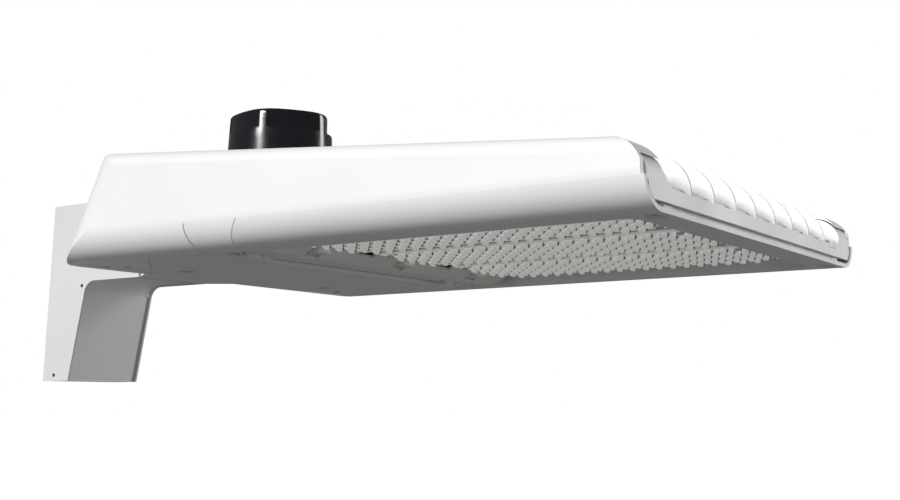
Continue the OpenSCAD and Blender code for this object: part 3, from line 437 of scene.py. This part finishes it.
sensor_gloss, tree, shader = node_material("sensor_gloss")
grain = use_group(tree, PEEL, Scale=500.0, Cloud=30.0)
tree.links.new(blend_colours(tree, grain.outputs["Tone"], (0.005, 0.006, 0.008), (0.009, 0.010, 0.013)),
               shader.inputs["Base Color"])
tree.links.new(spread(tree, grain.outputs["Tone"], 0.16, 0.24), shader.inputs["Roughness"])
shader.inputs["Coat Weight"].default_value = 0.2
shader.inputs["Specular IOR Level"].default_value = 0.35
shader.inputs["Coat Roughness"].default_value = 0.08
add_bump(tree, shader, grain.outputs["Height"], 0.000008)

sensor_glass, tree, shader = node_material("sensor_window_plastic")
grain = use_group(tree, PEEL, Scale=700.0, Cloud=50.0)
tree.links.new(blend_colours(tree, grain.outputs["Tone"], (0.30, 0.45, 0.55), (0.38, 0.52, 0.62)),
               shader.inputs["Base Color"])
shader.inputs["Roughness"].default_value = 0.15
shader.inputs["Transmission Weight"].default_value = 0.6
add_bump(tree, shader, grain.outputs["Height"], 0.000008)

lens_clear, tree, shader = node_material("lens_acrylic")
cell = use_group(tree, CELL, Turn=0.6)
chip_glow = spot(tree, cell, 0.0, 0.0, 1.5 * MM, 1.5 * MM, 0.5)
gap_shade = spot(tree, cell, 3.9 * MM, -1.0 * MM, 1.9 * MM, 3.4 * MM, 0.30)
warm = tree.nodes.new("ShaderNodeMix")
warm.data_type = "RGBA"
warm.inputs[6].default_value = (0.86, 0.86, 0.86, 1)
warm.inputs[7].default_value = (0.88, 0.84, 0.68, 1)
tree.links.new(chip_glow, warm.inputs[0])
dim = tree.nodes.new("ShaderNodeMix")
dim.data_type = "RGBA"
dim.inputs[7].default_value = (0.035, 0.035, 0.038, 1)
tree.links.new(warm.outputs[2], dim.inputs[6])
tree.links.new(gap_shade, dim.inputs[0])
tree.links.new(dim.outputs[2], shader.inputs["Base Color"])
shader.inputs["Roughness"].default_value = 0.12
shader.inputs["IOR"].default_value = 1.49
shader.inputs["Transmission Weight"].default_value = 0.10
tree.links.new(dim.outputs[2], shader.inputs["Emission Color"])
shader.inputs["Emission Strength"].default_value = 0.17
grain = use_group(tree, PEEL, Scale=300.0, Cloud=20.0)
add_bump(tree, shader, grain.outputs["Height"], 0.000010)

board_white, tree, shader = node_material("lamp_board")
cell = use_group(tree, CELL, Turn=0.0)
chip = spot(tree, cell, 0.0, 0.0, 1.6 * MM, 1.6 * MM, 0.1)
grain = use_group(tree, PEEL, Scale=1200.0, Cloud=40.0)
mask_white = blend_colours(tree, grain.outputs["Tone"], (0.78, 0.79, 0.78), (0.84, 0.85, 0.84))
phosphor = tree.nodes.new("ShaderNodeMix")
phosphor.data_type = "RGBA"
phosphor.inputs[7].default_value = (0.82, 0.66, 0.16, 1)
tree.links.new(mask_white, phosphor.inputs[6])
tree.links.new(chip, phosphor.inputs[0])
tree.links.new(phosphor.outputs[2], shader.inputs["Base Color"])
tree.links.new(spread(tree, grain.outputs["Tone"], 0.30, 0.42), shader.inputs["Roughness"])
add_bump(tree, shader, grain.outputs["Height"], 0.000010)
print("finishes:", len(bpy.data.materials))

# %% [markdown]
# ## Finish of every solid
# Each solid of the frame has one material slot. The table says which finish goes on which solid,
# and the cell stops if a solid was forgotten.

# %% Assign the finishes
wears = {
    white_coat: ["housing", "front_bezel"],
    skin_coat: ["driver_door", "hinge_bridge", "optical_frame"],
    darker_shell_white: ["wall_plate", "bracket_shell"],
    sheet_coat: ["bracket_cover", "arm_plate"],
    fin_coat: ["heat_sink"],
    zinc: ["arm_bolts", "bridge_screws", "bezel_screws", "sink_screws", "tray_screws",
           "receptacle_nut", "corner_screws", "cover_screws", "frame_screws", "lens_screws"],
    steel: ["hinge_pins", "door_latch_near", "door_latch_far"],
    tray_sheet: ["gear_tray"],
    case_alloy: ["driver"],
    rubber: ["neck_gasket", "wire_bushing", "door_gasket", "optical_gasket", "receptacle_gasket"],
    black_moulding: ["receptacle", "sensor_base", "surge_protector"],
    sensor_gloss: ["sensor_cap"],
    sensor_glass: ["sensor_window"],
    grey_moulding: ["terminal_block"],
    pale_moulding: ["board_plugs", "wire_cover"],
    lens_clear: ["lens_plate_near", "lens_plate_middle", "lens_plate_far"],
    board_white: ["led_board_near", "led_board_middle", "led_board_far"],
}
left = set(nodes)
for finish, names in wears.items():
    for name in names:
        worn = nodes[name]
        if not worn.data.materials:
            worn.data.materials.append(finish)
        for i in range(len(worn.data.materials)):
            worn.data.materials[i] = finish
        left.discard(name)
assert not left, left
print("solids with a finish:", sum(len(n) for n in wears.values()))


# %% [markdown]
# ## From a bmesh to a piece
# Every new piece ends the same way: its mesh goes into an object at the origin, it gets its
# finish, its faces are smooth except at sharp edges, and it rides on a body of the frame.

# %% Piece helper
def make_piece(bm, name, body, finish, sharp=35):
    bmesh.ops.recalc_face_normals(bm, faces=bm.faces)
    mesh = bpy.data.meshes.new(name)
    bm.to_mesh(mesh)
    bm.free()
    mesh.materials.append(finish)
    mesh.shade_smooth()
    mesh.set_sharp_from_angle(angle=math.radians(sharp))
    made = bpy.data.objects.new(name, mesh)
    scene.collection.objects.link(made)
    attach(made, body)
    print(name, "has", len(mesh.polygons), "faces")
    return made


def aim(up, at):
    """Matrix that turns +Z towards up and moves the origin to at, given in millimetres."""
    turn = Vector(up).to_track_quat("Z", "Y").to_matrix().to_4x4()
    return Matrix.Translation(Vector(at) * MM) @ turn


# %% [markdown]
# ## Screws
# A button-head screw has a domed head with a hexagon socket. It could be a cylinder with a
# boolean hexagon, but here a disc is extruded and inset into the dome, and a ring of six corners
# is bridged to its middle, which keeps the mesh clean. One helper makes all the screws.

# %% Screw helper
def add_screw(bm, at, up, head_r, head_h, socket_r, shank_r, shank_len):
    """at is the seat under the head in millimetres, up points out of the head."""
    start = len(bm.verts)
    made = bmesh.ops.create_circle(bm, cap_ends=False, radius=head_r, segments=28)
    rim = [e for e in bm.edges if all(v in made["verts"] for v in e.verts)]
    levels = [(head_r, 0.45 * head_h), (0.93 * head_r, 0.75 * head_h), (0.78 * head_r, head_h)]
    ring = rim
    size = head_r
    height = 0.0
    for radius, level in levels:
        grown = bmesh.ops.extrude_edge_only(bm, edges=ring)["geom"]
        moved = [g for g in grown if isinstance(g, bmesh.types.BMVert)]
        bmesh.ops.translate(bm, verts=moved, vec=(0, 0, level - height))
        bmesh.ops.scale(bm, verts=moved, vec=(radius / size, radius / size, 1))
        ring = [g for g in grown if isinstance(g, bmesh.types.BMEdge)]
        size, height = radius, level
    socket = bmesh.ops.create_circle(bm, cap_ends=False, radius=socket_r, segments=6,
                                     matrix=Matrix.Translation((0, 0, head_h)))["verts"]
    hexagon = [e for e in bm.edges if all(v in socket for v in e.verts)]
    bmesh.ops.bridge_loops(bm, edges=ring + hexagon)
    deep = bmesh.ops.extrude_edge_only(bm, edges=hexagon)["geom"]
    bottom = [g for g in deep if isinstance(g, bmesh.types.BMVert)]
    bmesh.ops.translate(bm, verts=bottom, vec=(0, 0, -0.6 * head_h))
    bmesh.ops.contextual_create(bm, geom=[g for g in deep if isinstance(g, bmesh.types.BMEdge)])
    under = bmesh.ops.extrude_edge_only(bm, edges=rim)["geom"]
    inner = [g for g in under if isinstance(g, bmesh.types.BMVert)]
    bmesh.ops.scale(bm, verts=inner, vec=(shank_r / head_r, shank_r / head_r, 1))
    ring = [g for g in under if isinstance(g, bmesh.types.BMEdge)]
    tip = bmesh.ops.extrude_edge_only(bm, edges=ring)["geom"]
    end = [g for g in tip if isinstance(g, bmesh.types.BMVert)]
    bmesh.ops.translate(bm, verts=end, vec=(0, 0, -shank_len))
    bmesh.ops.contextual_create(bm, geom=[g for g in tip if isinstance(g, bmesh.types.BMEdge)])
    bm.verts.ensure_lookup_table()
    new = bm.verts[start:]
    bmesh.ops.scale(bm, verts=new, vec=(MM, MM, MM))
    bmesh.ops.transform(bm, matrix=aim(up, at), verts=new)


# %% Screws of the skins, the bracket and the lenses
bm = bmesh.new()
for side in (-1, 1):
    for x, y in ((189, 138), (200, 128)):
        add_screw(bm, (x, side * y, 3.7), (0, 0, -1), 2.6, 0.8, 1.1, 1.4, 5.8)
corner_four = make_piece(bm, "corner_button_screws", "fixture", zinc)
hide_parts("corner_screws")

bm = bmesh.new()
for y in (-153.25, 153.25):
    add_screw(bm, (648, y, 5.7), (0, 0, -1), 3.6, 2.2, 1.7, 1.9, 11.5)
frame_pair = make_piece(bm, "frame_button_screws", "fixture", zinc)
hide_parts("frame_screws")

bm = bmesh.new()
for y in (-100, -40, 40, 100):
    add_screw(bm, (339, y, 6.5), (0, 0, -1), 3.6, 1.8, 1.7, 1.9, 7.7)
bridge_four = make_piece(bm, "bridge_button_screws", "fixture", zinc)
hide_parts("bridge_screws")

bm = bmesh.new()
for side in (-1, 1):
    for x, z in ((43.5, 4.0), (14.0, -73.5)):
        add_screw(bm, (x, side * 37.8, z), (0, side, 0), 2.2, 1.4, 0.95, 1.3, 2.9)
cover_four = make_piece(bm, "cover_button_screws", "fixture", black_moulding)
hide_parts("cover_screws")

bm = bmesh.new()
for middle in (-103.5, 0.0, 103.5):
    for x in (380.75, 612.75):
        for y in (-35.5, 35.5):
            add_screw(bm, (x, middle + y, 9.7), (0, 0, -1), 2.6, 1.4, 1.15, 1.2, 3.1)
lens_twelve = make_piece(bm, "lens_button_screws", "fixture", zinc)
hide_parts("lens_screws")

# %% [markdown]
# ## Cap of the light sensor
# The cap is a glossy black moulding: round below, and above a ledge cut back to five shallow
# hollows for the fingers, with a narrow rib left between them. A cylinder with booleans would do
# the cuts, but a profile that is spun round the axis gives even rings, and the rings above the
# ledge are then pulled in to the outline with the ribs. The edges get a small bevel.

# %% Sensor cap
axis_x, axis_y = 267.0, -34.0
cap_low, ledge, cap_top = 84.0, 113.9, 129.0
profile = [(0.0, cap_top), (36.0, cap_top), (39.4, cap_top), (40.4, 128.6), (41.0, 127.4),
           (41.1, 125.0), (41.4, 120.0), (41.6, ledge + 0.7), (41.65, ledge),
           (42.0, 105.0), (42.6, 94.0), (43.0, cap_low), (38.2, cap_low),
 (38.2, 97.9), (36.7, 97.9), (36.7, 109.0), (32.0, 109.0), (32.0, 126.4),
           (0.0, 126.4)]
bm = bmesh.new()
chain = [bm.verts.new((r, 0, z)) for r, z in profile]
edges = [bm.edges.new((a, b)) for a, b in zip(chain, chain[1:])]
bmesh.ops.spin(bm, geom=chain + edges, cent=(0, 0, 0), axis=(0, 0, 1), dvec=(0, 0, 0),
               angle=2 * math.pi, steps=180, use_merge=True, use_duplicate=False)
bmesh.ops.remove_doubles(bm, verts=bm.verts, dist=0.001)
rib_turn = math.radians(3.0)
fifth = 2 * math.pi / 5
pulled = 0
for vert in bm.verts:
    radius = math.hypot(vert.co.x, vert.co.y)
    if vert.co.z < ledge + 0.5 or radius < 33:
        continue
    turn = math.atan2(vert.co.y, vert.co.x) - rib_turn
    off = abs((turn % fifth) - fifth / 2)
    hollow = 37.6 + 2.6 * (off / math.radians(29.0)) ** 2
    limit = min(43.0, hollow) if off < math.radians(29.2) else 43.0
    if radius > limit:
        factor = limit / radius
        bmesh.ops.scale(bm, verts=[vert], vec=(factor, factor, 1))
        pulled += 1
bmesh.ops.recalc_face_normals(bm, faces=bm.faces)
sharp = [e for e in bm.edges if e.is_manifold and e.calc_face_angle() > math.radians(38)]
bmesh.ops.bevel(bm, geom=sharp, offset=0.5, offset_type="OFFSET", segments=2, profile=0.5,
                affect="EDGES", material=-1, clamp_overlap=True)
bmesh.ops.scale(bm, verts=bm.verts, vec=(MM, MM, MM))
bmesh.ops.translate(bm, verts=bm.verts, vec=(axis_x * MM, axis_y * MM, 0))
cap = make_piece(bm, "sensor_cap_moulding", "photocell", sensor_gloss, sharp=50)
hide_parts("sensor_cap")
print("corners pulled in:", pulled)

# %% [markdown]
# ## Lens plates
# Each clear plate carries rows of small lenses. A street optic is not round: it is a peanut that
# throws the light along the road, with a low prism beside it. A half sphere, squeezed in the
# middle, makes one lens of a few dozen faces. It is made once, at the middle of the plate's own
# grid, and its copies are set out on the grid: that is far quicker than making each anew.

# %% One lens
def add_lens(bm):
    """A squeezed dome with a small prism, pointing down, at the origin in millimetres."""
    made = bmesh.ops.create_uvsphere(bm, u_segments=14, v_segments=8, radius=1.0)["verts"]
    cut = bmesh.ops.bisect_plane(bm, geom=list({f for v in made for f in v.link_faces})
                                 + list({e for v in made for e in v.link_edges}) + made,
                                 plane_co=(0, 0, 0.02), plane_no=(0, 0, 1), clear_outer=True)
    dome = [v for v in made if v.is_valid]
    dome += [g for g in cut["geom_cut"] if isinstance(g, bmesh.types.BMVert) and g not in dome]
    for vert in dome:
        waist = 1.0 - 0.22 * math.exp(-(vert.co.x / 0.35) ** 2)
        vert.co.y *= waist
    bmesh.ops.scale(bm, verts=dome, vec=(3.7, 2.6, 3.3))
    bmesh.ops.rotate(bm, verts=dome, cent=(0, 0, 0), matrix=Matrix.Rotation(0.55, 3, "Z"))
    bmesh.ops.translate(bm, verts=dome, vec=(0, 0, 9.7))
    prism = bmesh.ops.create_cone(bm, cap_ends=True, segments=8, radius1=0.7, radius2=1.7,
                                  depth=1.6)["verts"]
    bmesh.ops.scale(bm, verts=prism, vec=(0.6, 1.7, 1))
    bmesh.ops.rotate(bm, verts=prism, cent=(0, 0, 0), matrix=Matrix.Rotation(0.55, 3, "Z"))
    bmesh.ops.translate(bm, verts=prism, vec=(5.3, -1.4, 9.1))


bm = bmesh.new()
add_lens(bm)
one_lens = bpy.data.meshes.new("one_lens")
bm.to_mesh(one_lens)
bm.free()
print("faces of one lens:", len(one_lens.polygons))


module_middles = (-103.5, 0.0, 103.5)
lenses_along, lenses_across = 21, 6
grid_start, step_x, step_y = 374.95, 11.6, 14.2


def lens_plate(name, middle):
    bm = bmesh.new()
    bmesh.ops.create_cube(bm, size=1.0)
    bmesh.ops.scale(bm, verts=bm.verts, vec=(243.6, 85.2, 1.6))
    upright = [e for e in bm.edges if abs(e.verts[0].co.z - e.verts[1].co.z) > 0.1]
    bmesh.ops.bevel(bm, geom=upright, offset=3.0, offset_type="OFFSET", segments=4, profile=0.5,
                    affect="EDGES", material=-1)
    face = min(bm.faces, key=lambda f: f.calc_center_median().z)
    bmesh.ops.inset_region(bm, faces=[face], thickness=1.6, depth=0.0, use_even_offset=True)
    bmesh.ops.inset_region(bm, faces=[face], thickness=0.4, depth=-0.5, use_even_offset=True)
    bmesh.ops.translate(bm, verts=bm.verts, vec=(496.75, middle, 10.5))
    for i in range(lenses_along):
        for j in range(lenses_across):
            if i in (0, lenses_along - 1) and j in (0, lenses_across - 1):
                continue
            first = len(bm.verts)
            bm.from_mesh(one_lens)
            bm.verts.ensure_lookup_table()
            bmesh.ops.translate(bm, verts=bm.verts[first:],
                                vec=(grid_start + (i + 0.5) * step_x,
                                     middle + (j - 2.5) * step_y, 0))
    bmesh.ops.scale(bm, verts=bm.verts, vec=(MM, MM, MM))
    mesh_faces = len(bm.faces)
    made = bpy.data.meshes.new(name)
    bm.to_mesh(made)
    bm.free()
    made.materials.append(lens_clear)
    made.shade_smooth()
    made.set_sharp_from_angle(angle=math.radians(40))
    plate = bpy.data.objects.new(name, made)
    scene.collection.objects.link(plate)
    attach(plate, "fixture")
    print(name, "has", mesh_faces, "faces")
    return plate


# %% The three lens plates
for which, middle in zip(("near", "middle", "far"), module_middles):
    plate = lens_plate("lens_field_" + which, middle)
    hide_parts("lens_plate_" + which)

# %% [markdown]
# ## Plugs and their leads
# At the wall end of each board a pale plug sits in a cut in the wire cover, and two thin leads
# loop from it to the board. The body is a cube with its edges bevelled and a latch pulled out of
# one side. The leads are a ring of vertices carried along an arc by spin.

# %% Board plugs
def add_block(bm, low, high, edge):
    """A block between two corners in millimetres, with small bevelled edges."""
    made = bmesh.ops.create_cube(bm, size=1.0)["verts"]
    size = [b - a for a, b in zip(low, high)]
    middle = [(a + b) / 2 for a, b in zip(low, high)]
    bmesh.ops.scale(bm, verts=made, vec=size)
    bmesh.ops.translate(bm, verts=made, vec=middle)
    if edge > 0:
        edges = list({e for v in made for e in v.link_edges})
        bmesh.ops.bevel(bm, geom=edges, offset=edge, offset_type="OFFSET", segments=2,
                        profile=0.5, affect="EDGES", material=-1)


bm = bmesh.new()
for middle in (-103.5, 0.0, 103.5):
    add_block(bm, (361.4, middle - 7, 5.5), (373.4, middle + 7, 15.4), 0.6)
    add_block(bm, (360.4, middle - 4.4, 6.6), (362.0, middle + 4.4, 9.4), 0.3)
    for y in (-4.4, 0.0, 4.4):
        add_block(bm, (363.0, middle + y - 1.3, 4.9), (371.6, middle + y + 1.3, 6.0), 0.3)
bmesh.ops.scale(bm, verts=bm.verts, vec=(MM, MM, MM))
plugs = make_piece(bm, "board_plug_bodies", "fixture", pale_moulding)
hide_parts("board_plugs")

bm = bmesh.new()
for middle in (-103.5, 0.0, 103.5):
    for y in (-1.5, 1.5):
        ring = bmesh.ops.create_circle(bm, cap_ends=False, radius=0.65, segments=10,
                                       matrix=Matrix.Translation((373.0, middle + y, 7.6))
                                       @ Matrix.Rotation(math.pi / 2, 4, "Y"))["verts"]
        loop = [e for e in bm.edges if all(v in ring for v in e.verts)]
        bmesh.ops.spin(bm, geom=ring + loop, cent=(377.5, middle + y, 12.2), axis=(0, 1, 0),
                       dvec=(0, 0, 0), angle=math.radians(88), steps=12, use_merge=False)
bmesh.ops.scale(bm, verts=bm.verts, vec=(MM, MM, MM))
leads = make_piece(bm, "board_leads", "fixture", pale_moulding)

# %% [markdown]
# ## Tab on the front rim
# The photo shows a small tab on the front fascia. What it is for can't be seen, and its size is
# judged. It could be left out, but it breaks the plain edge where the photo has it, and
# its bevelled edges catch a thin light line.

# %% Front tab
bm = bmesh.new()
add_block(bm, (655.2, 134.0, 14.0), (658.6, 148.0, 20.0), 0.7)
add_block(bm, (654.6, 138.0, 14.0), (656.0, 144.0, 18.2), 0.3)
bmesh.ops.scale(bm, verts=bm.verts, vec=(MM, MM, MM))
tab = make_piece(bm, "front_tab", "fixture", white_coat)

# %% [markdown]
# ## Control gear in the bay
# Behind the door sit the driver, the surge protector and the terminal block. They show when the
# door hangs open. Each is built up from bevelled blocks, as the real cases are folded or moulded:
# a body, end plates, feet with slots, ribs and screw wells. A texture of lines would be cheaper,
# but it would look flat from the side.

# %% Driver
bm = bmesh.new()
add_block(bm, (236.0, 33.0, 22.2), (292.0, 153.0, 53.7), 1.6)
for y in (31.0, 151.6):
    add_block(bm, (234.6, y, 21.9), (293.4, y + 3.4, 53.7), 0.8)
for y in (27.0, 154.0):
    add_block(bm, (246.0, y, 51.6), (260.0, y + 5.0, 53.7), 0.4)
    add_block(bm, (268.0, y, 51.6), (282.0, y + 5.0, 53.7), 0.4)
for x in range(242, 290, 6):
    add_block(bm, (x, 40.0, 21.7), (x + 2.2, 146.0, 22.6), 0.25)
bmesh.ops.scale(bm, verts=bm.verts, vec=(MM, MM, MM))
case = make_piece(bm, "driver_case", "fixture", case_alloy, sharp=30)
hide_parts("driver")

# %% Surge protector
bm = bmesh.new()
add_block(bm, (305.0, 100.0, 23.7), (331.0, 144.0, 52.6), 2.2)
add_block(bm, (304.2, 99.2, 48.0), (331.8, 144.8, 50.4), 0.5)
for y in (96.0, 142.0):
    add_block(bm, (310.0, y, 51.8), (326.0, y + 6.0, 53.7), 0.5)
for y in range(106, 140, 5):
    add_block(bm, (304.4, y, 30.0), (331.6, y + 1.6, 46.0), 0.3)
bmesh.ops.scale(bm, verts=bm.verts, vec=(MM, MM, MM))
surge = make_piece(bm, "surge_case", "fixture", black_moulding, sharp=30)
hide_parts("surge_protector")

# %% Terminal block
bm = bmesh.new()
add_block(bm, (308.0, 38.0, 37.4), (328.0, 78.0, 53.7), 0.7)
for pole in range(5):
    y = 38.6 + pole * 8.0
    add_block(bm, (306.2, y, 40.0), (329.8, y + 6.8, 50.0), 0.6)
    add_block(bm, (309.4, y + 0.6, 36.0), (314.6, y + 6.2, 38.6), 0.4)
    add_block(bm, (321.4, y + 0.6, 36.0), (326.6, y + 6.2, 38.6), 0.4)
bmesh.ops.scale(bm, verts=bm.verts, vec=(MM, MM, MM))
block = make_piece(bm, "terminal_rows", "fixture", grey_moulding, sharp=30)
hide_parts("terminal_block")

bm = bmesh.new()
for pole in range(5):
    for x in (312.0, 324.0):
        add_screw(bm, (x, 42.0 + pole * 8.0, 36.6), (0, 0, -1), 1.9, 0.7, 0.8, 0.9, 4.0)
terminal_ten = make_piece(bm, "terminal_screws", "fixture", zinc)

# %% [markdown]
# ## Leads in the bay
# Soft leads join the gear. A curve object with a bevel would be the usual way; here a ring of
# ten corners is carried along a path, and the path is first rounded by cutting its corners
# three times, which gives the same soft bends as real wire.

# %% Leads
def add_lead(bm, points, radius):
    """A round lead through points in millimetres."""
    path = [Vector(q) for q in points]
    for _ in range(3):
        finer = [path[0]]
        for a, b in zip(path, path[1:]):
            finer += [a.lerp(b, 0.25), a.lerp(b, 0.75)]
        path = finer + [path[-1]]
    heading = (path[1] - path[0]).normalized()
    placed = Matrix.Translation(path[0]) @ heading.to_track_quat("Z", "Y").to_matrix().to_4x4()
    ring = bmesh.ops.create_circle(bm, cap_ends=False, radius=radius, segments=10,
                                   matrix=placed)["verts"]
    loop = list({e for v in ring for e in v.link_edges})
    bmesh.ops.contextual_create(bm, geom=loop)
    for a, b, c in zip(path, path[1:], path[2:] + [path[-1] * 2 - path[-2]]):
        grown = bmesh.ops.extrude_edge_only(bm, edges=loop)["geom"]
        moved = [g for g in grown if isinstance(g, bmesh.types.BMVert)]
        loop = [g for g in grown if isinstance(g, bmesh.types.BMEdge)]
        bmesh.ops.translate(bm, verts=moved, vec=b - a)
        turn = (b - a).rotation_difference(c - b).to_matrix()
        bmesh.ops.rotate(bm, verts=moved, cent=b, matrix=turn)
    bmesh.ops.contextual_create(bm, geom=loop)


bm = bmesh.new()
for k, x in enumerate((256.0, 264.0, 272.0)):
    add_lead(bm, [(x, 31.5, 34.0), (x, 24.0, 34.0), (x + 14, 22.0 - 2 * k, 30.0),
                  (298.0, 30.0 - 3 * k, 32.0), (302.0, 46.0 + 8 * k, 42.0),
                  (309.0, 46.0 + 8 * k, 45.0)],
             1.3)
for y in (112.0, 124.0):
    add_lead(bm, [(318.0, y, 24.0), (318.0, y, 19.0), (320.0, y - 14, 18.5), (324.0, 88.0, 22.0),
                  (332.0, 70.0 - (y - 112) / 2, 34.0), (328.5, 62.0 - (y - 112) / 2, 44.0)], 1.2)
bmesh.ops.scale(bm, verts=bm.verts, vec=(MM, MM, MM))
wires = make_piece(bm, "gear_leads", "fixture", black_moulding, sharp=60)
